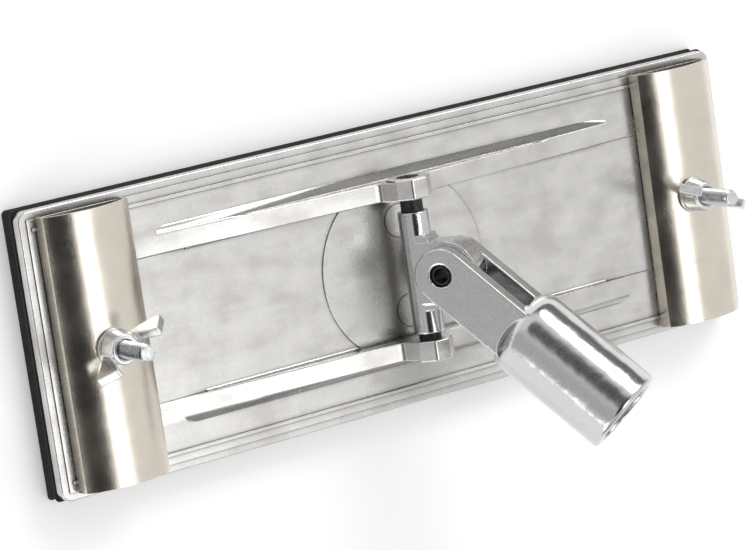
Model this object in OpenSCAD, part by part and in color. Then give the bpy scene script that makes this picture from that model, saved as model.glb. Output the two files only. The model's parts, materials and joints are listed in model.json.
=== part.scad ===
// Pole drywall sander head: a cast plate with a foam pad under it, two arched clamps that hold the
// sheet of abrasive, and a two-way swivel that ends in a threaded socket for a pole.
// Origin: centre of the foam pad's bottom face. +X along the plate, +Y across it, +Z up. Millimetres.

/* [Plate] */
// Length of the cast plate
plate_l = 235; // [225:1:250]
// Width of the cast plate
plate_w = 80; // [78:1:84]
// Thickness of the cast plate
plate_t = 3.6; // [3.2:0.1:5]
// Corner radius of the plate in plan
plate_corner = 3; // [1:0.5:6]
// Radius of the raised disc in the middle of the plate
disc_r = 27; // [22:0.5:32]

/* [Foam] */
// Thickness of the foam pad
foam_t = 5.2; // [4:0.1:10]
// How far the foam stands out past the plate, each side
foam_proud = 0.3; // [0:0.1:1]
// Thickness of the adhesive film between foam and plate
film_t = 0.3; // [0.2:0.1:0.6]

/* [Ribs and lugs] */
// Distance from the middle of the plate to the inner face of each rib
rib_y = 20.2; // [19.5:0.1:21]
// Width of the flat top of a rib
rib_w = 5.4; // [5:0.1:6]
// Distance from the middle to the low end of a rib
rib_end_x = 77; // [70:1:79]
// Height of a rib where it meets its lug
rib_h = 6.2; // [5:0.1:6.5]
// Width of a lug, across the plate
lug_w = 6; // [5.5:0.1:7]
// Size of the eight-sided lug, flat to flat
lug_flats = 11.8; // [11:0.1:12.6]
// Height of the swivel pin above the top of the plate
pivot_h = 9.3; // [9:0.1:10]

/* [Swivel] */
// Diameter of both spring pins
pin_d = 6.35; // [6:0.05:6.5]
// Outer diameter of the swivel block's barrel, and thickness of its tongue
barrel_d = 8.8; // [8.6:0.1:9.2]
// Length of the barrel
barrel_l = 35; // [33:0.5:36]
// How far the block sits to the -Y side between the lugs
block_shift = 1; // [-2:0.5:2]
// Distance between the swivel pin and the fork pin
pin_gap = 9.2; // [9:0.1:10]
// Radius of the tongue's round end
tongue_r = 8.65; // [8.2:0.05:9]
// Tilt of the block away from upright, towards +X
tilt = 36; // [-60:1:60]
// Swing of the handle away from the block's line, towards -Y
swing = 44.5; // [-60:0.5:60]

/* [Handle socket] */
// Outer diameter of the socket
socket_d = 25.4; // [24.5:0.1:27]
// Distance from the fork pin to the socket's mouth
socket_reach = 63.4; // [58:0.1:70]
// Distance from the fork pin to the socket's back
socket_back = 23.5; // [23:0.5:26]
// Width of each fork arm
arm_w = 15.4; // [14:0.1:16]
// Thickness of each fork arm
arm_t = 5; // [4:0.1:5.5]
// Diameter of the socket's bore at the thread's crests
bore_d = 14; // [13:0.1:16]
// Depth of the bore
bore_l = 30; // [20:1:32]
// Diameter of the opening at the mouth, over the thread's roots
mouth_d = 19.4; // [19:0.1:20]

/* [Clamps] */
// Distance from the middle of the plate to each bolt
bolt_x = 99.3; // [96:0.1:101]
// Width of a clamp along the plate, over its feet
clamp_w = 31; // [29:0.5:32]
// Length of a clamp across the plate
clamp_l = 76; // [70:0.5:78]
// Height of the clamp's arch
clamp_h = 7.8; // [6.5:0.1:9]
// Radius of the bends where the arch turns down into its feet
clamp_bend_r = 6; // [4:0.5:7]
// Angle of the feet to the plate
clamp_foot_angle = 78; // [65:1:85]
// How far the right clamp lies out from its bolt's line, in its oversize hole
clamp_shift = 1.2; // [-1.2:0.1:1.2]
// Thickness of the clamp's sheet
sheet_t = 1.2; // [1:0.1:1.4]
// Thread diameter of the clamp bolts
bolt_d = 4.9; // [4.6:0.1:5]
// Height of the bolt's end above the top of the plate
bolt_h = 26.5; // [24:0.5:30]
// Turn of the left wing nut seen from above
left_nut_turn = 32; // [0:1:180]
// Turn of the right wing nut seen from above
right_nut_turn = -24; // [-180:1:180]

/* [Hidden] */
$fn = 64;
through = 0.5;                       // how far a cutter passes the face it cuts

plate_z = foam_t + film_t;           // underside of the plate
top_z = plate_z + plate_t;           // top of the plate
pivot_z = top_z + pivot_h;

step_y = 37.7;                       // the plate is lower outside this line
step_h = 0.4;
ridge_y = 34.4;                      // thin ridges along both long edges
ridge_w = 1;
ridge_h = 0.5;
ridge_end_x = 115;
panel_h = 0.2;                       // the panel between the ribs is a little higher
disc_h = 0.6;
rib_low_h = 0.7;                     // height of a rib at its low end
rib_foot = 2.4;                      // the rib's outer side leans out by this much
lug_r = lug_flats / 2;
shoulder_x = 7.6;                    // the rib rises in two steps into the lug
shoulder_w = 1.8;
shoulder_h = 7;
shoulder_top_h = pivot_h + 2.2;

pin_wall = 1.1;                      // both pins are rolled from strip, with a slot
pin_slot = 1;
run_gap = 0.1;                       // running clearance round a pin
lug_outer_y = rib_y + lug_w;
swivel_pin_l = 2 * lug_outer_y - 2.6;
fork_gap = barrel_d + 0.7;           // between the fork's arms
fork_t = fork_gap + 2 * arm_t;
fork_pin_l = fork_t - 1;
web_fillet = 2;
shoulder_r = 5;                      // rounding of the socket's back
rim_r = 1.2;                         // rounding of the socket's mouth
mouth_l = 2.5;                       // plain lead-in ahead of the thread
mouth_cone = 2.7;

head_d = 11;                         // clamp bolt head, sunk into the plate's underside
head_h = 2;
head_pocket_d = 12;
head_pocket_h = 2.2;
neck_w = 5;                          // square neck that stops the bolt from turning
neck_hole_w = 5.2;
bolt_chamfer = 0.6;
clamp_hole_d = 7.6;
washer_d = 10.8;
washer_hole_d = 5.5;
washer_t = 1;
nut_z = top_z + ridge_h + clamp_h + washer_t;
nut_h = 5.4;
nut_base_d = 10;
nut_top_d = 8.4;
nut_hole_d = bolt_d + 0.2;
nut_sink_d = 6;                      // countersink on top of the nut
wing_t = 2.2;
wing_span = 25.6;
wing_h = 12.6;

// ---- outlines ----

module round_rect(l, w, r) {
    square([l - 2 * r, w], center = true);
    square([l, w - 2 * r], center = true);
    for (sx = [-1, 1], sy = [-1, 1])
        translate([sx * (l / 2 - r), sy * (w / 2 - r)]) circle(r = r);
}

// Half of a rib and its steps up into the lug, seen along Y, from the middle out to the low end
module rib_profile() {
    polygon([[0, 0], [rib_end_x, 0], [rib_end_x, rib_low_h], [shoulder_x + shoulder_w, rib_h],
             [shoulder_x, shoulder_h], [lug_r, shoulder_top_h], [0, shoulder_top_h]]);
}

// A rib cut across: the inner side is upright and the outer side leans out at its foot
module rib_section() {
    polygon([[rib_y, 0], [rib_y + rib_w + rib_foot, 0], [rib_y + rib_w, rib_foot],
             [rib_y + rib_w, shoulder_top_h], [rib_y, shoulder_top_h]]);
}

// A slotted, rolled spring pin along Y, centred
module spring_pin(l) {
    rotate([90, 0, 0]) difference() {
        cylinder(d = pin_d, h = l, center = true);
        cylinder(d = pin_d - 2 * pin_wall, h = l + 2 * through, center = true);
        translate([0, -pin_d, -l / 2 - through]) cube([pin_d, pin_slot, l + 2 * through]);
        translate([-pin_slot / 2, -pin_d, -l / 2 - through])
            cube([pin_slot, pin_d, l + 2 * through]);
    }
}

// ---- pad ----

module foam_pad() {
    color("#2b2a2b")
        linear_extrude(foam_t)
            round_rect(plate_l + 2 * foam_proud, plate_w + 2 * foam_proud, plate_corner);
}

module pad_adhesive() {
    color("#d8c9a0")
        translate([0, 0, foam_t])
            linear_extrude(film_t) round_rect(plate_l - 2, plate_w - 2, plate_corner);
}

// ---- plate ----

module rib() {
    for (side = [0, 1]) mirror([side, 0, 0])
        intersection() {
            translate([0, rib_y + rib_w + rib_foot, 0]) rotate([90, 0, 0])
                linear_extrude(rib_w + rib_foot) rib_profile();
            rotate([90, 0, 90]) linear_extrude(rib_end_x) rib_section();
        }
    translate([0, lug_outer_y, pivot_h]) rotate([90, 0, 0])
        rotate(22.5) cylinder(r = lug_r / cos(22.5), h = lug_w, $fn = 8);
}

module plate_body() {
    linear_extrude(plate_t - step_h) round_rect(plate_l, plate_w, plate_corner);
    translate([-plate_l / 2, -step_y, 0]) cube([plate_l, 2 * step_y, plate_t]);
    translate([0, 0, plate_t - step_h]) {
        for (side = [-1, 1])
            translate([-ridge_end_x, side * (ridge_y + ridge_w / 2) - ridge_w / 2, 0])
                cube([2 * ridge_end_x, ridge_w, ridge_h + step_h]);
        translate([-rib_end_x, -rib_y, 0]) cube([2 * rib_end_x, 2 * rib_y, panel_h + step_h]);
        intersection() {
            cylinder(r = disc_r, h = disc_h + step_h, $fn = 128);
            translate([-disc_r, -rib_y, 0]) cube([2 * disc_r, 2 * rib_y, disc_h + step_h]);
        }
    }
    for (side = [0, 1]) mirror([0, side, 0]) translate([0, 0, plate_t - through]) {
        translate([0, 0, through]) rib();
        translate([-lug_r, rib_y, 0]) cube([2 * lug_r, rib_w, pivot_h]);
    }
}

module base_plate() {
    color("#c9c7c3")
        translate([0, 0, plate_z]) difference() {
            plate_body();
            translate([0, 0, plate_t + pivot_h]) rotate([90, 0, 0])
                cylinder(d = pin_d, h = 2 * lug_outer_y + 2, center = true);
            for (side = [-1, 1]) translate([side * bolt_x, 0, 0]) {
                translate([0, 0, -through]) cylinder(d = head_pocket_d, h = head_pocket_h + through);
                translate([-neck_hole_w / 2, -neck_hole_w / 2, 0])
                    cube([neck_hole_w, neck_hole_w, plate_t + through]);
            }
        }
}

// ---- clamps ----

// Outline of the arch: a wide arc on top meets a tighter bend on each side, which runs down into
// a foot. The wide arc's radius follows from the height, the width and the foot's angle.
bend_x = clamp_w / 2 - clamp_bend_r * sin(clamp_foot_angle);
bend_z = -clamp_bend_r * cos(clamp_foot_angle);
arch_drop = clamp_h - clamp_bend_r - bend_z;
arch_r = clamp_bend_r + (bend_x * bend_x + arch_drop * arch_drop) / (2 * arch_drop);
arch_z = clamp_h - arch_r;
arch_angle = asin(bend_x / (arch_r - clamp_bend_r));

// A ring of sheet between two angles measured from straight up
module ring_sector(r, from, to) {
    reach = 2 * r;
    intersection() {
        difference() {
            circle(r = r, $fn = 180);
            circle(r = r - sheet_t, $fn = 180);
        }
        polygon([[0, 0], [reach * sin(from), reach * cos(from)], [reach * sin(to), reach * cos(to)]]);
    }
}

module arch_outline() {
    overlap = 1;
    intersection() {
        union() {
            translate([0, arch_z]) ring_sector(arch_r, -arch_angle, arch_angle);
            for (side = [0, 1]) mirror([side, 0]) translate([bend_x, bend_z])
                ring_sector(clamp_bend_r, arch_angle - overlap, clamp_foot_angle + overlap);
        }
        translate([-clamp_w, 0]) square([2 * clamp_w, 2 * clamp_h]);
    }
}

module clamp(x) {
    color("#cfc6b4")
        translate([x, 0, top_z + ridge_h]) difference() {
            translate([0, clamp_l / 2, 0]) rotate([90, 0, 0]) linear_extrude(clamp_l) arch_outline();
            cylinder(d = clamp_hole_d, h = 2 * clamp_h);
        }
}

module left_clamp() clamp(-bolt_x);
module right_clamp() clamp(bolt_x + clamp_shift);

module clamp_bolt(x) {
    color("#d4d6d8") translate([x, 0, 0]) {
        translate([0, 0, plate_z + head_pocket_h - head_h]) cylinder(d = head_d, h = head_h);
        translate([-neck_w / 2, -neck_w / 2, plate_z + head_pocket_h - through])
            cube([neck_w, neck_w, plate_t - head_pocket_h + through]);
        translate([0, 0, top_z - through])
            cylinder(d = bolt_d, h = bolt_h + through - bolt_chamfer);
        translate([0, 0, top_z + bolt_h - bolt_chamfer])
            cylinder(d1 = bolt_d, d2 = bolt_d - 2 * bolt_chamfer, h = bolt_chamfer);
    }
}

module left_clamp_bolt() clamp_bolt(-bolt_x);
module right_clamp_bolt() clamp_bolt(bolt_x);

module washer(x) {
    color("#d9dadb")
        translate([x, 0, nut_z - washer_t]) difference() {
            cylinder(d = washer_d, h = washer_t);
            translate([0, 0, -through]) cylinder(d = washer_hole_d, h = washer_t + 2 * through);
        }
}

module left_washer() washer(-bolt_x);
module right_washer() washer(bolt_x);

// One wing seen from the side, from inside the hub out to the tip
module wing_profile() {
    tip = wing_span / 2;
    polygon([[3.4, 0.4], [5.2, 0.9], [tip - 0.6, 7], [tip, 7.9], [tip - 4.3, wing_h - 0.2],
             [tip - 5, wing_h], [tip - 5.5, wing_h - 0.5], [4.6, nut_h - 0.4], [3.4, nut_h - 1]]);
}

module wing_nut(x, turn) {
    color("#d4d6d8")
        translate([x, 0, nut_z]) rotate(turn) difference() {
            union() {
                cylinder(d1 = nut_base_d, d2 = nut_top_d, h = nut_h);
                for (side = [0, 180]) rotate(side)
                    translate([0, wing_t / 2, 0]) rotate([90, 0, 0])
                        linear_extrude(wing_t) wing_profile();
            }
            translate([0, 0, -through]) cylinder(d = nut_hole_d, h = nut_h + 2 * through);
            translate([0, 0, nut_h - (nut_sink_d - nut_hole_d) / 2])
                cylinder(d1 = nut_hole_d, d2 = nut_sink_d, h = (nut_sink_d - nut_hole_d) / 2);
        }
}

module left_wing_nut() wing_nut(-bolt_x, left_nut_turn);
module right_wing_nut() wing_nut(bolt_x, right_nut_turn);

// ---- swivel ----

// Puts a piece drawn with its tongue along +Z and its barrel along Y into the block's place
module at_block() {
    translate([0, 0, pivot_z]) rotate([0, tilt, 0]) children();
}

// Puts a piece drawn with its socket along +Z, and the fork pin along X at its origin, into place
module at_fork() {
    at_block() translate([0, -block_shift, pin_gap]) rotate([swing, 0, 0]) children();
}

module swivel_pin() {
    color("#33343a") translate([0, 0, pivot_z]) spring_pin(swivel_pin_l);
}

module fork_pin() {
    color("#26262b") at_fork() rotate([0, 0, 90]) spring_pin(fork_pin_l);
}

// The tongue in the plane of the swing, with the barrel's axis along the outline's X
module tongue_outline() {
    translate([0, pin_gap]) circle(r = tongue_r, $fn = 96);
    translate([-tongue_r, 0]) square([2 * tongue_r, pin_gap]);
    for (side = [-1, 1]) difference() {
        translate([side > 0 ? tongue_r - 0.1 : -tongue_r - web_fillet, 0])
            square([web_fillet + 0.1, barrel_d / 2 + web_fillet]);
        translate([side * (tongue_r + web_fillet), barrel_d / 2 + web_fillet]) circle(r = web_fillet);
    }
}

module swivel_block() {
    bore_r = pin_d / 2 + run_gap;
    color("#b9bcc0")
        at_block() translate([0, -block_shift, 0]) difference() {
            union() {
                rotate([90, 0, 0]) cylinder(d = barrel_d, h = barrel_l, center = true);
                translate([-barrel_d / 2, 0, 0]) rotate([90, 0, 90])
                    linear_extrude(barrel_d) tongue_outline();
            }
            rotate([90, 0, 0]) cylinder(r = bore_r, h = barrel_l + 2, center = true);
            translate([0, 0, pin_gap]) rotate([0, 90, 0])
                cylinder(r = bore_r, h = barrel_d + 2, center = true);
        }
}

// ---- handle ----

module arm_outline() {
    circle(d = arm_w);
    translate([-arm_w / 2, 0]) square([arm_w, socket_back + shoulder_r]);
}

// The socket's outer shape, as half a section: its back edge and its mouth are rounded
module socket_section() {
    r = socket_d / 2;
    l = socket_reach - socket_back;
    square([r - shoulder_r, l]);
    translate([0, shoulder_r]) square([r, l - shoulder_r - rim_r]);
    translate([0, shoulder_r]) square([r - rim_r, l - shoulder_r]);
    translate([r - shoulder_r, shoulder_r]) circle(r = shoulder_r);
    translate([r - rim_r, l - rim_r]) circle(r = rim_r);
}

module handle_socket() {
    color("#b4b7bb")
        at_fork() difference() {
            union() {
                translate([0, 0, socket_back]) rotate_extrude($fn = 128) socket_section();
                for (side = [-1, 1])
                    translate([side > 0 ? fork_gap / 2 : -fork_t / 2, 0, 0])
                        rotate([90, 0, 90]) linear_extrude(arm_t) arm_outline();
            }
            translate([0, 0, socket_reach - bore_l]) cylinder(d = bore_d, h = bore_l + through);
            translate([0, 0, socket_reach - mouth_l]) cylinder(d = mouth_d, h = mouth_l + through);
            translate([0, 0, socket_reach - mouth_l - mouth_cone])
                cylinder(d1 = bore_d, d2 = mouth_d, h = mouth_cone);
            rotate([0, 90, 0]) cylinder(d = pin_d, h = fork_t + 2, center = true);
        }
}

foam_pad();
pad_adhesive();
base_plate();
left_clamp_bolt();
right_clamp_bolt();
left_clamp();
right_clamp();
left_washer();
right_washer();
left_wing_nut();
right_wing_nut();
swivel_pin();
swivel_block();
fork_pin();
handle_socket();
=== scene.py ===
import json
import math

import bmesh
import bpy
from mathutils import Matrix, Vector


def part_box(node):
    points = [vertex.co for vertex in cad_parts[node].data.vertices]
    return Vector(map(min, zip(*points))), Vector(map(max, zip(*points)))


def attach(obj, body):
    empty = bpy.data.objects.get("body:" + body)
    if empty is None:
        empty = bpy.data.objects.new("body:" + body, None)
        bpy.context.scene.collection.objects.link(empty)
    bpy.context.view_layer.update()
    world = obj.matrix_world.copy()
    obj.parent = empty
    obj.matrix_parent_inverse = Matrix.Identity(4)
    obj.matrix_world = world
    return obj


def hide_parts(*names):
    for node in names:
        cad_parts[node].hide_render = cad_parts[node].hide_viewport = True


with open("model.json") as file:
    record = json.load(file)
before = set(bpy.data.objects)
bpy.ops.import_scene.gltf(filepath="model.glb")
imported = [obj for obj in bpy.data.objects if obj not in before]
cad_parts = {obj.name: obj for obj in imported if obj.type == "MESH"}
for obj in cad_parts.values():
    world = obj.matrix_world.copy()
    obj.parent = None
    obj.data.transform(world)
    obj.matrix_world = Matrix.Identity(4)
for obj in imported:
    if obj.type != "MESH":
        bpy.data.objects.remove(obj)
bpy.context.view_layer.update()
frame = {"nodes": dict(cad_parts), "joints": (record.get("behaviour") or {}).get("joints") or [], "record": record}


# ==== Camera ====
# A long lens looks down on the plate from its left end, rolled so that the plate climbs to the right.
camera_data = bpy.data.cameras.new("bench_camera")
camera_data.lens = 179.1
camera_data.sensor_width = 36
camera_data.clip_end = 30
camera = bpy.data.objects.new("bench_camera", camera_data)
bpy.context.collection.objects.link(camera)
camera_back = Vector((-0.5208, 0.1796, 0.8346)).normalized()
camera_up = Vector((0.217, 0.973, -0.074))
camera_right = camera_up.cross(camera_back).normalized()
camera_up = camera_back.cross(camera_right)
camera_turn = Matrix((camera_right, camera_up, camera_back)).transposed().to_4x4()
camera.matrix_world = Matrix.Translation((-0.5579, 0.1884, 0.8879)) @ camera_turn
bpy.context.scene.camera = camera
bpy.context.scene.view_settings.view_transform = "Standard"


# ==== Studio ====
# White room light with dark patches in it, which metal needs for its dark bands: flags over the plate,
# and dimmer ones low down. Soft boxes overhead, behind and in front; the floor is a pale matt sheet.
def add_node(tree, kind, inputs, **settings):
    node = tree.nodes.new(kind)
    for name, value in settings.items():
        setattr(node, name, value)
    for name, value in inputs.items():
        if isinstance(value, bpy.types.NodeSocket):
            tree.links.new(value, node.inputs[name])
        else:
            node.inputs[name].default_value = value
    return node


world = bpy.data.worlds.new("studio_room")
bpy.context.scene.world = world
world.use_nodes = True
room = world.node_tree
room.nodes.clear()
ray_way = add_node(room, "ShaderNodeTexCoord", {}).outputs["Generated"]


def room_patch(towards, inner_deg, outer_deg):
    near = add_node(room, "ShaderNodeVectorMath", {0: ray_way, 1: Vector(towards).normalized()},
                    operation="DOT_PRODUCT").outputs["Value"]
    return add_node(room, "ShaderNodeMapRange",
                    {"Value": near, "From Min": math.cos(math.radians(outer_deg)),
                     "From Max": math.cos(math.radians(inner_deg))},
                    interpolation_type="SMOOTHSTEP").outputs["Result"]


wall_light = 0.82
for towards, inner_deg, outer_deg, loss in (((-0.38, -0.13, 0.92), 18.5, 24.5, 0.8),
                                            ((-0.28, 0.32, 0.9), 18, 29, 0.72),
                                            ((0.55, 0.83, 0.0), 22, 50, 0.66),
                                            ((-0.95, 0.02, 0.26), 14, 38, 0.3),
                                            ((0.1, -0.98, 0.15), 20, 45, 0.35)):
    wall_light = add_node(room, "ShaderNodeMath",
                          {0: room_patch(towards, inner_deg, outer_deg), 1: -loss, 2: wall_light},
                          operation="MULTIPLY_ADD").outputs[0]
wall_light = add_node(room, "ShaderNodeMath", {0: wall_light, 1: 0.02}, operation="MAXIMUM")
wall = add_node(room, "ShaderNodeBackground", {"Color": wall_light.outputs[0], "Strength": 1.0})
backdrop = add_node(room, "ShaderNodeBackground", {"Color": (1, 1, 1, 1), "Strength": 1.0})
seen = add_node(room, "ShaderNodeLightPath", {}).outputs["Is Camera Ray"]
room_mix = add_node(room, "ShaderNodeMixShader", {0: seen, 1: wall.outputs[0], 2: backdrop.outputs[0]})
add_node(room, "ShaderNodeOutputWorld", {"Surface": room_mix.outputs[0]})


def soft_box(name, towards, away, width, height, power):
    light = bpy.data.lights.new(name, "AREA")
    light.shape = "RECTANGLE"
    light.size, light.size_y = width, height
    light.energy = power
    lamp = bpy.data.objects.new(name, light)
    bpy.context.collection.objects.link(lamp)
    way = Vector(towards).normalized()
    lamp.matrix_world = Matrix.Translation(way * away) @ way.to_track_quat("Z", "Y").to_matrix().to_4x4()
    return lamp


soft_box("overhead_box", (0.13, -0.18, 0.97), 1.5, 0.42, 1.2, 2.9)
soft_box("back_strip_box", (0.42, 0.67, 0.61), 1.4, 0.75, 0.5, 6)
soft_box("front_fill_box", (-0.75, -0.6, 0.25), 1.6, 0.9, 0.5, 3)

bpy.ops.object.select_all(action="DESELECT")
bpy.ops.mesh.primitive_plane_add(size=8, location=(0, 0, -0.0002))
floor = bpy.context.object
floor.name = "pale_floor"
floor_finish = bpy.data.materials.new("pale_floor")
floor_finish.use_nodes = True
floor_shader = floor_finish.node_tree.nodes["Principled BSDF"]
floor_shader.inputs["Base Color"].default_value = (0.97, 0.97, 0.97, 1)
floor_shader.inputs["Roughness"].default_value = 0.9
floor_shader.inputs["Emission Color"].default_value = (1, 1, 1, 1)
floor_shader.inputs["Emission Strength"].default_value = 0.22
floor.data.materials.append(floor_finish)


# ==== Foam sole ====
# A strip of black closed-cell foam, die-cut to the plate's outline and stuck under it. Its cut edge
# pulls in a little between its two faces and shows fine pores.
def make_active(part):
    if bpy.context.object and bpy.context.object.mode != "OBJECT":
        bpy.ops.object.mode_set(mode="OBJECT")
    bpy.ops.object.select_all(action="DESELECT")
    part.select_set(True)
    bpy.context.view_layer.objects.active = part


def settle(name):
    bpy.ops.object.transform_apply(location=True, rotation=True, scale=True)
    bpy.context.object.name = name
    bpy.context.object.data.name = name
    return bpy.context.object


def add_block(name, low, high):
    low, high = Vector(low), Vector(high)
    bpy.ops.object.select_all(action="DESELECT")
    bpy.ops.mesh.primitive_cube_add(size=1, location=(low + high) / 2)
    bpy.context.object.scale = high - low
    return settle(name)


def pick(part, kind, test):
    """Selects the verts, edges or faces whose middle passes the test, with the part in edit mode."""
    make_active(part)
    bpy.ops.object.mode_set(mode="EDIT")
    bpy.ops.mesh.select_mode(type={"verts": "VERT", "edges": "EDGE", "faces": "FACE"}[kind])
    bpy.ops.mesh.select_all(action="DESELECT")
    mesh = bmesh.from_edit_mesh(part.data)
    for item in getattr(mesh, kind):
        corners = [item] if kind == "verts" else item.verts
        middle = sum((corner.co for corner in corners), Vector()) / len(corners)
        if test(middle, item):
            item.select_set(True)
    mesh.select_flush_mode()
    bmesh.update_edit_mesh(part.data)


def run(edge):
    """The direction of an edge."""
    return (edge.verts[1].co - edge.verts[0].co).normalized()


def leave_edit():
    bpy.ops.object.mode_set(mode="OBJECT")


def use_modifier(part, kind, **settings):
    make_active(part)
    bpy.ops.object.modifier_add(type=kind)
    modifier = part.modifiers[-1]
    for name, value in settings.items():
        setattr(modifier, name, value)
    bpy.ops.object.modifier_apply(modifier=modifier.name)


def new_finish(name):
    """An empty material: its node tree, its shader, and the object's coordinates in millimetres."""
    finish = bpy.data.materials.new(name)
    finish.use_nodes = True
    tree = finish.node_tree
    shader = tree.nodes["Principled BSDF"]
    coords = add_node(tree, "ShaderNodeTexCoord", {}).outputs["Object"]
    in_mm = add_node(tree, "ShaderNodeMapping", {"Vector": coords, "Scale": (1000, 1000, 1000)})
    return finish, tree, shader, in_mm.outputs["Vector"]


def noise(tree, coords, scale, detail=3, stretch=(1, 1, 1), turn=(0, 0, 0)):
    laid = add_node(tree, "ShaderNodeMapping", {"Vector": coords, "Scale": stretch, "Rotation": turn})
    return add_node(tree, "ShaderNodeTexNoise",
                    {"Vector": laid.outputs[0], "Scale": scale, "Detail": detail}).outputs["Fac"]


def spread(tree, value, low, high, to_low, to_high):
    return add_node(tree, "ShaderNodeMapRange",
                    {"Value": value, "From Min": low, "From Max": high, "To Min": to_low,
                     "To Max": to_high}).outputs["Result"]


def tint(tree, value, stops):
    ramp = add_node(tree, "ShaderNodeValToRGB", {"Fac": value})
    for index, (place, colour) in enumerate(stops):
        element = ramp.color_ramp.elements[index] if index < 2 else ramp.color_ramp.elements.new(place)
        element.position = place
        element.color = (*colour, 1)
    return ramp.outputs["Color"]


def dress(part, finish):
    part.data.materials.clear()
    part.data.materials.append(finish)


def bumps(tree, shader, *layers):
    """Stacks bump layers, each a height and its depth in millimetres."""
    normal = None
    for height, depth in layers:
        inputs = {"Height": height, "Distance": depth / 1000, "Strength": 1.0}
        if normal:
            inputs["Normal"] = normal
        normal = add_node(tree, "ShaderNodeBump", inputs).outputs["Normal"]
    tree.links.new(normal, shader.inputs["Normal"])


foam_low, foam_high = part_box("foam_pad")
foam_inset = Vector((0.0001, 0.0001, 0))
foam_corner, foam_pull, foam_round, foam_cut_depth = 0.0012, 0.0007, 0.0003, 0.00035
pull_from_x, pull_from_y = 0.1155, 0.038
foam = add_block("foam_sole", foam_low + foam_inset, foam_high - foam_inset)
pick(foam, "edges", lambda place, edge: abs(run(edge).z) > 0.9)
bpy.ops.mesh.bevel(offset=foam_corner, segments=4)
for waist_z in (0.15, 0.5, 0.85):
    bpy.ops.mesh.select_all(action="SELECT")
    bpy.ops.mesh.bisect(plane_co=foam_low.lerp(foam_high, waist_z), plane_no=(0, 0, 1))
for line_x in range(-115, 116, 5):
    bpy.ops.mesh.select_all(action="SELECT")
    bpy.ops.mesh.bisect(plane_co=(line_x / 1000, 0, 0), plane_no=(1, 0, 0))
for line_y in range(-35, 36, 5):
    bpy.ops.mesh.select_all(action="SELECT")
    bpy.ops.mesh.bisect(plane_co=(0, line_y / 1000, 0), plane_no=(0, 1, 0))
foam_middle = (foam_low.z + foam_high.z) / 2
pick(foam, "verts", lambda place, vert: abs(place.z - foam_middle) < 0.0003
     and (abs(place.x) > pull_from_x or abs(place.y) > pull_from_y))
bpy.ops.transform.resize(value=(1 - foam_pull / foam_high.x, 1 - foam_pull / foam_high.y, 1),
                         center_override=(0, 0, foam_middle))
pick(foam, "edges", lambda place, edge: abs(run(edge).z) < 0.1 and len(edge.link_faces) == 2
     and edge.calc_face_angle() > 1)
bpy.ops.mesh.bevel(offset=foam_round, segments=2)
leave_edit()
foam_waves = bpy.data.textures.new("foam_waves", "CLOUDS")
foam_waves.noise_scale = 0.012
use_modifier(foam, "SUBSURF", subdivision_type="SIMPLE", levels=1, render_levels=1)
pick(foam, "verts",
     lambda place, vert: foam_low.z + 2 * foam_round < place.z < foam_high.z - 2 * foam_round)
foam.vertex_groups.new(name="cut_edge")
bpy.ops.object.vertex_group_assign()
leave_edit()
use_modifier(foam, "DISPLACE", texture=foam_waves, strength=foam_cut_depth, mid_level=0.75,
             vertex_group="cut_edge")
bpy.ops.object.shade_smooth_by_angle(angle=math.radians(40))

foam_finish, tree, shader, mm = new_finish("black_foam")
pores = add_node(tree, "ShaderNodeTexVoronoi", {"Vector": mm, "Scale": 2.6}).outputs["Distance"]
dust = noise(tree, mm, 0.35, 5)
tree.links.new(tint(tree, dust, [(0.3, (0.012, 0.012, 0.013)), (0.75, (0.035, 0.034, 0.036))]),
               shader.inputs["Base Color"])
tree.links.new(spread(tree, dust, 0.3, 0.7, 0.75, 0.95), shader.inputs["Roughness"])
shader.inputs["Specular IOR Level"].default_value = 0.35
bumps(tree, shader, (pores, 0.25), (noise(tree, mm, 7, 2), 0.05))
dress(foam, foam_finish)
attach(foam, "base")
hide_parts("foam_pad")


# ==== Adhesive film ====
# The foam's self-adhesive back: a thin amber film pressed between the foam and the casting.
film_finish, tree, shader, mm = new_finish("amber_film")
film_streaks = noise(tree, mm, 0.8, 4, stretch=(0.15, 1, 1))
tree.links.new(tint(tree, film_streaks, [(0.3, (0.42, 0.33, 0.18)), (0.7, (0.62, 0.53, 0.34))]),
               shader.inputs["Base Color"])
tree.links.new(spread(tree, film_streaks, 0.3, 0.7, 0.25, 0.5), shader.inputs["Roughness"])
bumps(tree, shader, (film_streaks, 0.03))
film = frame["nodes"]["pad_adhesive"]
dress(film, film_finish)


# ==== Cast plate ====
# One aluminium pressure die casting: a flat plate with a stepped rim and thin ridges along its long
# edges, a raised disc in the middle, and two ribs that climb to the eight-sided lugs of the swivel.
def add_rod(name, start, end, radius, vertices=64, radius_end=None, turn=0.0):
    start, end = Vector(start), Vector(end)
    bpy.ops.object.select_all(action="DESELECT")
    bpy.ops.mesh.primitive_cone_add(
        vertices=vertices, radius1=radius, radius2=radius if radius_end is None else radius_end,
        depth=(end - start).length, location=(start + end) / 2)
    along = (end - start).to_track_quat("Z", "Y") @ Matrix.Rotation(turn, 4, "Z").to_quaternion()
    bpy.context.object.rotation_euler = along.to_euler()
    return settle(name)


def combine(part, tool, operation):
    use_modifier(part, "BOOLEAN", object=tool, operation=operation, solver="MANIFOLD")
    bpy.data.objects.remove(tool)


def fuse(part, tool):
    combine(part, tool, "UNION")


def cut(part, tool):
    combine(part, tool, "DIFFERENCE")


def soften(part, width, segments=3, over_deg=25):
    use_modifier(part, "BEVEL", width=width, segments=segments, limit_method="ANGLE",
                 angle_limit=math.radians(over_deg), use_clamp_overlap=True)


def extrude(part, test, step):
    pick(part, "faces", test)
    bpy.ops.mesh.extrude_region_move(TRANSFORM_OT_translate={"value": step})
    leave_edit()


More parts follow.
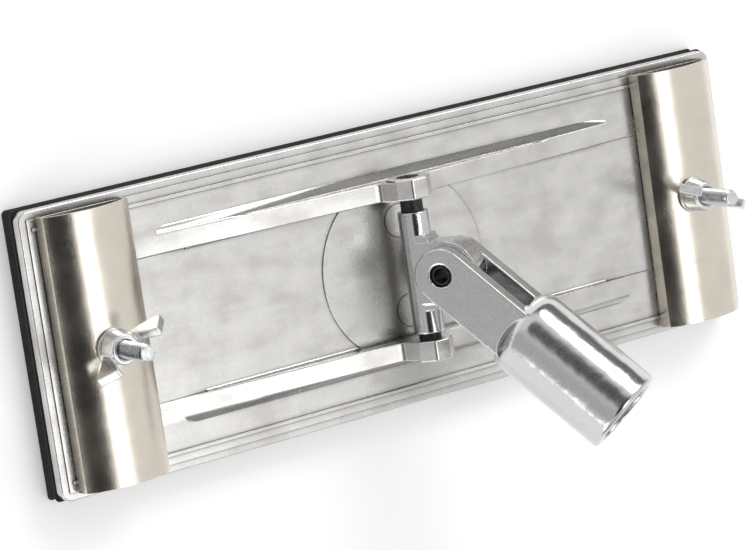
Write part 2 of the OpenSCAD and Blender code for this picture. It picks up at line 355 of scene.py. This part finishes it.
def rule_lines(part, axis, places):
    """Cuts lines right across the part, square to an axis, without taking anything away."""
    make_active(part)
    bpy.ops.object.mode_set(mode="EDIT")
    for place in places:
        across = Vector((0, 0, 0))
        across[axis] = 1
        bpy.ops.mesh.select_all(action="SELECT")
        bpy.ops.mesh.bisect(plane_co=across * place, plane_no=across)
    leave_edit()


def smooth_shade(part, over_deg=30):
    make_active(part)
    bpy.ops.object.shade_smooth_by_angle(angle=math.radians(over_deg))
    use_modifier(part, "WEIGHTED_NORMAL", keep_sharp=True, weight=60)


plate_low, lug_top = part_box("base_plate")
plate_high = Vector((lug_top.x, lug_top.y, plate_low.z + 0.0036))
rim_x, rim_y, rim_drop = 0.1152, 0.0377, 0.0004
ridge_inner_y, ridge_outer_y, ridge_end_x, ridge_rise = 0.0344, 0.0354, 0.114, 0.0005
rib_y, rib_width, rib_foot, rib_end_x, rib_end_rise = 0.0202, 0.0054, 0.0024, 0.077, 0.0005
tail_end_x, tail_fall = 0.089, 0.0002
plate_corner, plate_round, ridge_round, disc_round = 0.003, 0.0005, 0.00016, 0.00025
panel_rise, disc_rise, disc_radius = 0.0002, 0.0006, 0.027
top = plate_high.z
rim_top = top - rim_drop

plate = add_block("cast_plate", plate_low, (plate_high.x, plate_high.y, rim_top))
pick(plate, "edges", lambda place, edge: abs(run(edge).z) > 0.9)
bpy.ops.mesh.bevel(offset=plate_corner, segments=6)
pick(plate, "edges", lambda place, edge: abs(run(edge).z) < 0.1)
bpy.ops.mesh.bevel(offset=plate_round, segments=3)
leave_edit()
step = add_block("rim_step", (-rim_x, -rim_y, plate_low.z + 0.001), (rim_x, rim_y, top))
rule_lines(step, 1, (-ridge_outer_y, -ridge_inner_y, -rib_y, rib_y, ridge_inner_y, ridge_outer_y))
rule_lines(step, 0, (-ridge_end_x, -tail_end_x, tail_end_x, ridge_end_x))


def on_top(place):
    return abs(place.z - top) < 0.00001


extrude(step, lambda place, face: on_top(place) and ridge_inner_y < abs(place.y) < ridge_outer_y
        and abs(place.x) < ridge_end_x, (0, 0, ridge_rise))
extrude(step, lambda place, face: on_top(place) and abs(place.y) < rib_y
        and abs(place.x) < tail_end_x, (0, 0, panel_rise))
pick(step, "edges", lambda place, edge: place.z > top - 0.0001 and edge.is_manifold
     and edge.calc_face_angle_signed() > 0.5)
bpy.ops.mesh.bevel(offset=ridge_round, segments=2)
leave_edit()
fuse(plate, step)

disc = add_rod("disc", (0, 0, top - 0.001), (0, 0, top + disc_rise), disc_radius, vertices=160)
for side in (-1, 1):
    make_active(disc)
    bpy.ops.object.mode_set(mode="EDIT")
    bpy.ops.mesh.select_all(action="SELECT")
    bpy.ops.mesh.bisect(plane_co=(0, side * (rib_y + 0.0004), 0), plane_no=(0, side, 0),
                        clear_outer=True, use_fill=True)
    leave_edit()
soften(disc, disc_round)
mark_x, mark_y, mark_depth, mark_radius, mark_inner_radius = 0.0006, 0.013, 0.00022, 0.005, 0.00465
for side in (-1, 1):
    mark = add_rod("ejector_mark", (mark_x, side * mark_y, top + disc_rise - mark_depth),
                   (mark_x, side * mark_y, top + 0.002), mark_radius, vertices=72)
    cut(mark, add_rod("mark_core", (mark_x, side * mark_y, top), (mark_x, side * mark_y, top + 0.003),
                      mark_inner_radius, vertices=72))
    cut(disc, mark)
fuse(plate, disc)

lug_radius, lug_width = 0.0059, 0.006
pin_z = frame["joints"][0]["pos_m"][2]
rib_heights = ((0.0094, 0.0062), (0.0076, 0.007), (lug_radius, 0.0115), (0, 0.0115))
rib = add_block("rib", (rib_heights[0][0], rib_y, top - 0.0005),
                (rib_end_x, rib_y + rib_width, top + rib_heights[0][1]))
pick(rib, "verts", lambda place, vert: place.x > 0.07 and place.z > top + 0.001)
bpy.ops.transform.translate(value=(0, 0, rib_end_rise - rib_heights[0][1]))
leave_edit()
extrude(rib, lambda place, face: place.x > 0.07 and abs(face.normal.x) > 0.5,
        (tail_end_x - rib_end_x, 0, 0))
pick(rib, "verts", lambda place, vert: place.x > 0.08 and place.z > top)
bpy.ops.transform.translate(value=(0, 0, -tail_fall))
leave_edit()
for (from_x, from_h), (to_x, to_h) in zip(rib_heights, rib_heights[1:]):
    extrude(rib, lambda place, face: abs(place.x - from_x) < 0.00005 and abs(face.normal.x) > 0.5,
            (to_x - from_x, 0, 0))
    pick(rib, "verts", lambda place, vert: abs(place.x - to_x) < 0.00005 and place.z > top + 0.003)
    bpy.ops.transform.translate(value=(0, 0, to_h - from_h))
    leave_edit()
rule_lines(rib, 2, (top + rib_foot,))
pick(rib, "verts", lambda place, vert: place.y > rib_y + 0.004 and place.z < top)
bpy.ops.transform.translate(value=(0, rib_foot + 0.0005, 0))
pick(rib, "faces", lambda place, face: abs(place.x) < 0.00005)
bpy.ops.mesh.delete(type="FACE")
leave_edit()
use_modifier(rib, "MIRROR", use_axis=(True, False, False), use_clip=True)
soften(rib, 0.0004, over_deg=20)
lug = add_rod("lug", (0, rib_y, pin_z), (0, rib_y + lug_width, pin_z),
              lug_radius / math.cos(math.pi / 8), vertices=8, turn=math.pi / 8)
soften(lug, 0.00055)
fuse(rib, lug)
foot_radius, foot_end_x = 0.0009, rib_end_x - 0.008
foot = add_block("rib_foot", (-foot_end_x, rib_y - foot_radius, top - 0.0005),
                 (foot_end_x, rib_y + 0.0003, top + panel_rise + foot_radius))
cut(foot, add_rod("foot_hollow", (-rib_end_x, rib_y - foot_radius, top + panel_rise + foot_radius),
                  (rib_end_x, rib_y - foot_radius, top + panel_rise + foot_radius), foot_radius))
fuse(rib, foot)
other_rib = rib.copy()
other_rib.data = rib.data.copy()
bpy.context.collection.objects.link(other_rib)
other_rib.data.transform(Matrix.Scale(-1, 4, (0, 1, 0)))
other_rib.data.flip_normals()
fuse(plate, rib)
fuse(plate, other_rib)
plate_pin_radius, neck_hole_half, pocket_radius, pocket_depth = 0.006354 / 2, 0.0026, 0.006, 0.0022
cut(plate, add_rod("pin_hole", (0, -0.03, pin_z), (0, 0.03, pin_z), plate_pin_radius, vertices=72))
bolt_places = [sum(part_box(side + "_clamp_bolt"), Vector()) / 2 for side in ("left", "right")]
for place in bolt_places:
    cut(plate, add_block("neck_hole", (place.x - neck_hole_half, -neck_hole_half, 0),
                         (place.x + neck_hole_half, neck_hole_half, 0.02)))
    cut(plate, add_rod("head_pocket", (place.x, 0, 0), (place.x, 0, plate_low.z + pocket_depth),
                       pocket_radius))
smooth_shade(plate)

cast_finish, tree, shader, mm = new_finish("satin_cast_aluminium")
clouding = noise(tree, mm, 0.11, 8)
flow = noise(tree, mm, 0.16, 5, stretch=(0.35, 1, 1))
long_lines = noise(tree, mm, 1.6, 3, stretch=(0.03, 1, 0.5))
cross_lines = noise(tree, mm, 1.6, 3, stretch=(1, 0.03, 0.5))
grain = noise(tree, mm, 3.2, 4)
mottle = add_node(tree, "ShaderNodeMath", {0: clouding, 1: flow}, operation="ADD").outputs[0]
# Painted shade: the metal's colour is darkened where ambient occlusion finds nearby surfaces, in creases, corners
# and at the feet of the ribs, standing in for the shade that falls there.
painted_crease_shade = add_node(tree, "ShaderNodeAmbientOcclusion", {"Distance": 0.0014}, only_local=True,
                  samples=6).outputs["AO"]
metal_tint = tint(tree, spread(tree, mottle, 0.75, 1.3, 0, 1),
                  [(0.0, (0.58, 0.565, 0.55)), (0.5, (0.7, 0.69, 0.67)), (1.0, (0.79, 0.78, 0.76))])
crease_shaded_tint = add_node(tree, "ShaderNodeVectorMath",
                  {0: metal_tint, "Scale": spread(tree, painted_crease_shade, 0.55, 0.97, 0.2, 1)},
                  operation="SCALE").outputs["Vector"]
tree.links.new(crease_shaded_tint, shader.inputs["Base Color"])
lines = add_node(tree, "ShaderNodeMath", {0: long_lines, 1: cross_lines}, operation="MAXIMUM").outputs[0]
rough = add_node(tree, "ShaderNodeMath",
                 {0: spread(tree, mottle, 0.75, 1.3, 0.3, 0.22),
                  1: spread(tree, lines, 0.55, 0.8, 0.0, 0.03)}, operation="ADD").outputs[0]
tree.links.new(rough, shader.inputs["Roughness"])
shader.inputs["Metallic"].default_value = 1.0
bumps(tree, shader, (flow, 0.035), (grain, 0.012), (lines, 0.0015))
dress(plate, cast_finish)
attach(plate, "base")
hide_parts("base_plate")


# ==== Swivel pin and fork pin ====
# Spring pins: blackened steel strip, rolled to a tube with an open slot along it and driven into
# holes a little smaller than itself. The ends are chamfered so that they start.
def spring_pin(name, length, radius, wall, chamfer=0.0007, slot_angle=math.radians(12)):
    bpy.ops.object.select_all(action="DESELECT")
    bpy.ops.mesh.primitive_plane_add(size=1)
    bpy.context.object.scale = (wall, length, 1)
    bpy.context.object.location = (radius - wall / 2, 0, 0)
    pin = settle(name)
    pick(pin, "verts", lambda place, vert: place.x > radius - wall / 2)
    bpy.ops.mesh.bevel(offset=chamfer, segments=1, affect="VERTICES")
    bpy.ops.mesh.select_all(action="SELECT")
    bpy.ops.mesh.spin(steps=48, angle=2 * math.pi - slot_angle, center=(0, 0, 0), axis=(0, 1, 0))
    bpy.ops.mesh.select_all(action="SELECT")
    bpy.ops.mesh.remove_doubles(threshold=0.000001)
    bpy.ops.mesh.normals_make_consistent(inside=False)
    leave_edit()
    soften(pin, 0.00012, segments=2, over_deg=35)
    return pin


def lay(part, origin, x_way, z_way):
    """Puts a part built upright at the origin into its place: its X and Z turned to the ways given."""
    z_way = Vector(z_way).normalized()
    x_way = Vector(x_way).normalized()
    y_way = z_way.cross(x_way).normalized()
    turn = Matrix((y_way.cross(z_way), y_way, z_way)).transposed().to_4x4()
    make_active(part)
    part.matrix_world = Matrix.Translation(origin) @ turn
    settle(part.name)


joints = {joint["name"]: joint for joint in frame["joints"]}
swivel_place = Vector(joints["swivel_tilt"]["pos_m"])
fork_place = Vector(joints["handle_swing"]["pos_m"])
fork_way = Vector(joints["handle_swing"]["axis"])
block_way = Vector((fork_place.x - swivel_place.x, 0, fork_place.z - swivel_place.z))
mounts = {mount["name"]: mount for mount in frame["record"]["mounts"]}
handle_way = Vector(mounts["handle_thread"]["axis"])

pin_radius, pin_wall, swivel_pin_length, fork_pin_length = 0.006345 / 2, 0.0011, 0.0498, 0.0185
swivel_pin = spring_pin("rolled_swivel_pin", swivel_pin_length, pin_radius, pin_wall)
lay(swivel_pin, swivel_place, (1, 0, -0.4), (0.4, 0, 1))
fork_pin = spring_pin("rolled_fork_pin", fork_pin_length, pin_radius, pin_wall)
make_active(fork_pin)
fork_pin.rotation_euler = (0, 0, math.pi / 2)
settle(fork_pin.name)
lay(fork_pin, fork_place, fork_way, handle_way)

black_finish, tree, shader, mm = new_finish("blackened_steel")
soot = noise(tree, mm, 1.4, 5)
tree.links.new(tint(tree, soot, [(0.35, (0.018, 0.018, 0.022)), (0.7, (0.06, 0.06, 0.07))]),
               shader.inputs["Base Color"])
tree.links.new(spread(tree, soot, 0.3, 0.7, 0.28, 0.5), shader.inputs["Roughness"])
shader.inputs["Metallic"].default_value = 0.7
bumps(tree, shader, (soot, 0.02), (noise(tree, mm, 9, 2), 0.006))
for pin, node, body in ((swivel_pin, "swivel_pin", "base"), (fork_pin, "fork_pin", "handle")):
    smooth_shade(pin)
    dress(pin, black_finish)
    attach(pin, body)
    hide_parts(node)


# ==== Swivel block ====
# A small aluminium casting, tumbled bright: a barrel that turns on the swivel pin between the lugs,
# and a round-ended tongue that stands up from it into the handle's fork.
def tumble(part, voxel, passes):
    """Rounds every edge and corner the way a tumbling barrel and a draughted die do."""
    use_modifier(part, "REMESH", mode="VOXEL", voxel_size=voxel, adaptivity=0.0)
    use_modifier(part, "SMOOTH", factor=0.5, iterations=passes)
    make_active(part)
    bpy.ops.object.shade_smooth()


barrel_radius, barrel_length, block_shift = 0.0044, 0.035, 0.001
tongue_radius, pin_gap, web_fillet = 0.00865, block_way.length, 0.002
running_radius, web_inset = pin_radius + 0.0001, 0.0002
block = add_rod("tumbled_swivel_block", (0, -barrel_length / 2, 0), (0, barrel_length / 2, 0),
                barrel_radius, vertices=96)
soften(block, 0.0004)
fuse(block, add_rod("tongue", (-barrel_radius, 0, pin_gap), (barrel_radius, 0, pin_gap), tongue_radius,
                    vertices=128))
fuse(block, add_block("tongue_root", (-barrel_radius, -tongue_radius, 0),
                      (barrel_radius, tongue_radius, pin_gap)))
web = add_block("web", (-barrel_radius + web_inset, -tongue_radius - web_fillet, 0),
                (barrel_radius - web_inset, tongue_radius + web_fillet, barrel_radius + web_fillet))
for side in (-1, 1):
    hollow_y, hollow_z = side * (tongue_radius + web_fillet), barrel_radius + web_fillet
    cut(web, add_rod("web_hollow", (-0.01, hollow_y, hollow_z), (0.01, hollow_y, hollow_z), web_fillet))
fuse(block, web)
cut(block, add_rod("bore", (0, -0.03, 0), (0, 0.03, 0), running_radius, vertices=72))
cut(block, add_rod("bore", (-0.01, 0, pin_gap), (0.01, 0, pin_gap), running_radius, vertices=72))
tumble(block, 0.0002, 4)
make_active(block)
block.location = (0, -block_shift, 0)
settle(block.name)
lay(block, swivel_place, fork_way, block_way)

bright_finish, tree, shader, mm = new_finish("tumbled_aluminium")
ripples = noise(tree, mm, 0.11, 2)
dimples = noise(tree, mm, 2.4, 4)
pits = noise(tree, mm, 6.0, 3)
tree.links.new(tint(tree, dimples, [(0.3, (0.60, 0.60, 0.605)), (0.7, (0.70, 0.70, 0.695))]),
               shader.inputs["Base Color"])
tree.links.new(spread(tree, dimples, 0.3, 0.7, 0.12, 0.22), shader.inputs["Roughness"])
shader.inputs["Metallic"].default_value = 1.0
bumps(tree, shader, (ripples, 0.25), (dimples, 0.012), (pits, 0.004))
dress(block, bright_finish)
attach(block, "swivel")
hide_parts("swivel_block")


# ==== Handle socket ====
# One aluminium casting: a fork whose two arms straddle the tongue, running back into a round socket
# with a coarse female thread that takes the end of a pole.
def add_helix(name, inner, outer, inner_width, outer_width, pitch, turns, base_z, steps):
    """A closed screw thread ridge: its section is drawn once, wound up Z, and capped at both ends."""
    bpy.ops.object.select_all(action="DESELECT")
    bpy.ops.mesh.primitive_plane_add(size=1, rotation=(math.pi / 2, 0, 0))
    bpy.context.object.scale = (outer - inner, inner_width, 1)
    bpy.context.object.location = ((inner + outer) / 2, 0, base_z)
    ridge = settle(name)
    pick(ridge, "verts", lambda place, vert: place.x > (inner + outer) / 2)
    bpy.ops.transform.resize(value=(1, 1, outer_width / inner_width), center_override=(outer, 0, base_z))
    bpy.ops.mesh.select_all(action="SELECT")
    bpy.ops.mesh.delete(type="ONLY_FACE")
    leave_edit()
    use_modifier(ridge, "SCREW", axis="Z", angle=2 * math.pi, steps=steps, render_steps=steps,
                 iterations=turns, screw_offset=pitch, use_merge_vertices=True, merge_threshold=0.000001)
    make_active(ridge)
    bpy.ops.object.mode_set(mode="EDIT")
    bpy.ops.mesh.select_mode(type="EDGE")
    bpy.ops.mesh.select_all(action="DESELECT")
    bpy.ops.mesh.select_non_manifold()
    bpy.ops.mesh.fill_holes(sides=0)
    bpy.ops.mesh.select_all(action="SELECT")
    bpy.ops.mesh.normals_make_consistent(inside=False)
    leave_edit()
    return ridge


socket_radius, socket_back, socket_reach = 0.0127, 0.0235, 0.0634
arm_width, arm_thickness, fork_gap = 0.0154, 0.005, 0.0095
crest_radius, root_radius, mouth_radius, thread_pitch = 0.007, 0.0095, 0.0097, 0.00508
bore_length, mouth_length, mouth_cone, thread_start = 0.03, 0.0025, 0.0027, 0.002
groove_inner_width, groove_outer_width, thread_turns, shoulder_round = 0.0032, 0.0019, 5, 0.005
socket = add_rod("tumbled_handle_socket", (0, 0, socket_back), (0, 0, socket_reach), socket_radius,
                 vertices=144)
pick(socket, "edges", lambda place, edge: abs(place.z - socket_back) < 0.00001)
bpy.ops.mesh.bevel(offset=shoulder_round, segments=10)
pick(socket, "edges", lambda place, edge: abs(place.z - socket_reach) < 0.00001)
bpy.ops.mesh.bevel(offset=0.0012, segments=5)
leave_edit()
for side in (-1, 1):
    inner_x, outer_x = side * fork_gap / 2, side * (fork_gap / 2 + arm_thickness)
    arm = add_rod("arm", (inner_x, 0, 0), (outer_x, 0, 0), arm_width / 2, vertices=96)
    fuse(arm, add_block("arm_shank",
                        (min(inner_x, outer_x), -arm_width / 2, 0),
                        (max(inner_x, outer_x), arm_width / 2, socket_back + shoulder_round)))
    fuse(socket, arm)
cut(socket, add_rod("bore", (0, 0, socket_reach - bore_length), (0, 0, socket_reach + 0.001),
                    crest_radius, vertices=96))
cut(socket, add_rod("mouth", (0, 0, socket_reach - mouth_length), (0, 0, socket_reach + 0.001),
                    mouth_radius, vertices=96))
cut(socket, add_rod("lead_in", (0, 0, socket_reach - mouth_length - mouth_cone),
                    (0, 0, socket_reach - mouth_length + 0.00001), crest_radius, vertices=96,
                    radius_end=mouth_radius))
cut(socket, add_helix("thread_groove", crest_radius - 0.0004, root_radius, groove_inner_width,
                      groove_outer_width, thread_pitch, thread_turns,
                      socket_reach - bore_length + thread_start, 48))
cut(socket, add_rod("pin_hole", (-0.02, 0, 0), (0.02, 0, 0), pin_radius, vertices=72))
tumble(socket, 0.00037, 3)
lay(socket, fork_place, fork_way, handle_way)
dress(socket, bright_finish)
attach(socket, "handle")
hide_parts("handle_socket")


# ==== Sheet clamps ====
# Two nickel-plated steel strips, 1.2 mm thick, rolled to a shallow arch with tighter bends at the
# feet, and punched with a wide hole for the bolt. Only their feet press on the sheet of abrasive.
sheet, clamp_rise, bend_radius, foot_angle = 0.0012, 0.0078, 0.006, math.radians(78)
bolt_hole_radius, clamp_edge_round = 0.0038, 0.00022


def copy_of(part, name, move=(0, 0, 0)):
    twin = part.copy()
    twin.data = part.data.copy()
    twin.name = twin.data.name = name
    bpy.context.collection.objects.link(twin)
    twin.data.transform(Matrix.Translation(move))
    return twin


clamp_low, clamp_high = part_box("left_clamp")
clamp_half = (clamp_high.x - clamp_low.x) / 2
clamp_x, foot_z = (clamp_low.x + clamp_high.x) / 2, clamp_low.z
bend_x = clamp_half - bend_radius * math.sin(foot_angle)
bend_z = -bend_radius * math.cos(foot_angle)
arch_drop = clamp_rise - bend_radius - bend_z
arch_radius = bend_radius + (bend_x ** 2 + arch_drop ** 2) / (2 * arch_drop)
arch_angle = math.asin(bend_x / (arch_radius - bend_radius))
bpy.ops.object.select_all(action="DESELECT")
bpy.ops.mesh.primitive_plane_add(size=1)
bpy.context.object.scale = (0.01, clamp_high.y - clamp_low.y, 1)
bpy.context.object.location = (-0.005, 0, clamp_rise)
clamp = settle("left_sheet_clamp")
pick(clamp, "verts", lambda place, vert: place.x < -0.001)
bpy.ops.mesh.delete(type="VERT")
bpy.ops.mesh.select_mode(type="EDGE")
bpy.ops.mesh.select_all(action="SELECT")
bpy.ops.mesh.spin(steps=20, angle=arch_angle, center=(0, 0, clamp_rise - arch_radius), axis=(0, 1, 0))
bpy.ops.mesh.spin(steps=16, angle=foot_angle - arch_angle + math.radians(4),
                  center=(bend_x, 0, bend_z), axis=(0, 1, 0))
bpy.ops.mesh.select_all(action="SELECT")
bpy.ops.mesh.remove_doubles(threshold=0.000001)
leave_edit()
if clamp.data.polygons[0].normal.z < 0:
    clamp.data.flip_normals()
use_modifier(clamp, "MIRROR", use_axis=(True, False, False), use_clip=True, merge_threshold=0.00001)
use_modifier(clamp, "SOLIDIFY", thickness=sheet, offset=-1, use_even_offset=True)
make_active(clamp)
bpy.ops.object.mode_set(mode="EDIT")
bpy.ops.mesh.select_all(action="SELECT")
bpy.ops.mesh.bisect(plane_co=(0, 0, 0), plane_no=(0, 0, -1), clear_outer=True, use_fill=True)
leave_edit()
clamp.data.transform(Matrix.Translation((clamp_x, 0, foot_z)))
cut(clamp, add_rod("bolt_hole", (clamp_x, 0, 0), (clamp_x, 0, 0.05), bolt_hole_radius,
                   vertices=72))
soften(clamp, clamp_edge_round, segments=2, over_deg=45)
smooth_shade(clamp, over_deg=40)

nickel_finish, tree, shader, mm = new_finish("satin_nickel")
rolling = noise(tree, mm, 0.5, 4, stretch=(1, 0.04, 1))
haze = noise(tree, mm, 0.09, 5)
speckle = noise(tree, mm, 2.7, 4)
tree.links.new(tint(tree, haze, [(0.3, (0.74, 0.68, 0.59)), (0.7, (0.81, 0.755, 0.665))]),
               shader.inputs["Base Color"])
satin = add_node(tree, "ShaderNodeMath",
                 {0: spread(tree, haze, 0.3, 0.7, 0.13, 0.2),
                  1: spread(tree, speckle, 0.35, 0.7, 0.0, 0.08)}, operation="ADD").outputs[0]
tree.links.new(satin, shader.inputs["Roughness"])
shader.inputs["Metallic"].default_value = 1.0
bumps(tree, shader, (rolling, 0.01), (speckle, 0.022), (haze, 0.08))
dress(clamp, nickel_finish)
right_low, right_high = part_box("right_clamp")
right_clamp = copy_of(clamp, "right_sheet_clamp", ((right_low.x + right_high.x) / 2 - clamp_x, 0, 0))
for part, side in ((clamp, "left"), (right_clamp, "right")):
    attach(part, side + "_clamp")
    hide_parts(side + "_clamp")


# ==== Clamp bolts ====
# M5 carriage bolts, zinc plated: a low round head sunk into the plate's underside, a square neck that
# keeps it from turning, and a rolled thread up through the clamp to a chamfered end.
thread_radius, thread_root, bolt_pitch, thread_run_out = 0.00245, 0.00196, 0.0008, 0.0006
ridge_foot, ridge_crest, neck_half, head_radius, head_height = 0.00076, 0.00014, 0.0025, 0.0055, 0.002
bolt_low, bolt_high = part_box("left_clamp_bolt")
bolt_x = (bolt_low.x + bolt_high.x) / 2
bolt = add_rod("left_carriage_bolt", (bolt_x, 0, top - 0.0005), (bolt_x, 0, bolt_high.z), thread_root,
               vertices=48)
soften(bolt, 0.0003, segments=2, over_deg=60)
bolt_turns = int((bolt_high.z - top - 0.001) / bolt_pitch)
thread = add_helix("bolt_thread", thread_root - 0.0002, thread_radius, ridge_foot, ridge_crest,
                   bolt_pitch, bolt_turns, bolt_high.z - thread_run_out - bolt_turns * bolt_pitch, 32)
thread.data.transform(Matrix.Translation((bolt_x, 0, 0)))
fuse(bolt, thread)
neck = add_block("neck", (bolt_x - neck_half, -neck_half, bolt_low.z + 0.0015),
                 (bolt_x + neck_half, neck_half, top))
soften(neck, 0.0002, segments=2)
fuse(bolt, neck)
head = add_rod("head", (bolt_x, 0, bolt_low.z), (bolt_x, 0, bolt_low.z + head_height), head_radius,
               vertices=64)
pick(head, "edges", lambda place, edge: place.z < bolt_low.z + 0.00001)
bpy.ops.mesh.bevel(offset=0.0012, segments=5)
leave_edit()
fuse(bolt, head)
smooth_shade(bolt)

zinc_finish, tree, shader, mm = new_finish("bright_zinc")
passivation = noise(tree, mm, 0.45, 4)
wear = noise(tree, mm, 3.0, 4)
tree.links.new(tint(tree, passivation, [(0.3, (0.66, 0.68, 0.70)), (0.7, (0.82, 0.82, 0.80))]),
               shader.inputs["Base Color"])
tree.links.new(spread(tree, wear, 0.3, 0.7, 0.14, 0.3), shader.inputs["Roughness"])
shader.inputs["Metallic"].default_value = 1.0
bumps(tree, shader, (passivation, 0.08), (wear, 0.012))
dress(bolt, zinc_finish)
right_bolt = copy_of(bolt, "right_carriage_bolt", (bolt_places[1].x - bolt_x, 0, 0))
for part, side in ((bolt, "left"), (right_bolt, "right")):
    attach(part, "base")
    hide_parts(side + "_clamp_bolt")


# ==== Washers ====
# Plain zinc-plated steel washers between each wing nut and its clamp, rounded on the blanked side.
washer_low, washer_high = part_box("left_washer")
washer_radius, washer_bore = (washer_high.x - washer_low.x) / 2, 0.00275
washer = add_rod("left_plain_washer", (bolt_x, 0, washer_low.z), (bolt_x, 0, washer_high.z),
                 washer_radius, vertices=80)
cut(washer, add_rod("washer_hole", (bolt_x, 0, 0), (bolt_x, 0, 0.05), washer_bore, vertices=64))
soften(washer, 0.00022, segments=3)
smooth_shade(washer)
dress(washer, zinc_finish)
right_washer = copy_of(washer, "right_plain_washer", (bolt_places[1].x - bolt_x, 0, 0))
for part, side in ((washer, "left"), (right_washer, "right")):
    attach(part, side + "_clamp")
    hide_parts(side + "_washer")


# ==== Wing nuts ====
# Cast wing nuts, zinc plated: a tapering hub with two thick wings that lean out and are cut off
# square to their slope at the tips. Fingers turn them down to grip the sheet.
nut_height, nut_base, nut_top, nut_bore, nut_sink = 0.0054, 0.005, 0.0042, 0.00255, 0.003
wing_thickness, wing_root_x, wing_reach, wing_height = 0.0026, 0.003, 0.0128, 0.0126
wing_trims = (((0.0052, 0, 0.0009), (0.656, 0, -0.755)), ((0.0128, 0, 0.0079), (0.722, 0, 0.692)),
              ((0.0046, 0, 0.005), (-0.935, 0, 0.355)), ((0.0122, 0, 0.007), (0.83, 0, -0.555)))
nut = add_rod("left_cast_wing_nut", (0, 0, 0), (0, 0, nut_height), nut_base, vertices=96,
              radius_end=nut_top)
soften(nut, 0.0005)
for side in (0, 1):
    wing = add_block("wing", (wing_root_x, -wing_thickness / 2, 0.0004),
                     (wing_reach, wing_thickness / 2, wing_height))
    for place, way in wing_trims:
        make_active(wing)
        bpy.ops.object.mode_set(mode="EDIT")
        bpy.ops.mesh.select_all(action="SELECT")
        bpy.ops.mesh.bisect(plane_co=place, plane_no=way, clear_outer=True, use_fill=True)
        leave_edit()
    soften(wing, 0.0005)
    wing.data.transform(Matrix.Rotation(side * math.pi, 4, "Z"))
    fuse(nut, wing)
cut(nut, add_rod("nut_bore", (0, 0, -0.001), (0, 0, 0.01), nut_bore, vertices=64))
cut(nut, add_rod("nut_sink", (0, 0, nut_height - (nut_sink - nut_bore)), (0, 0, nut_height + 0.00001),
                 nut_bore, vertices=64, radius_end=nut_sink))
tumble(nut, 0.00013, 3)
dress(nut, zinc_finish)
right_nut = copy_of(nut, "right_cast_wing_nut")
for part, side, turn_deg, place in ((nut, "left", 32, bolt_places[0]),
                                    (right_nut, "right", -24, bolt_places[1])):
    part.data.transform(Matrix.Translation((place.x, 0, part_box(side + "_wing_nut")[0].z))
                        @ Matrix.Rotation(math.radians(turn_deg), 4, "Z"))
    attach(part, side + "_wing_nut")
    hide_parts(side + "_wing_nut")
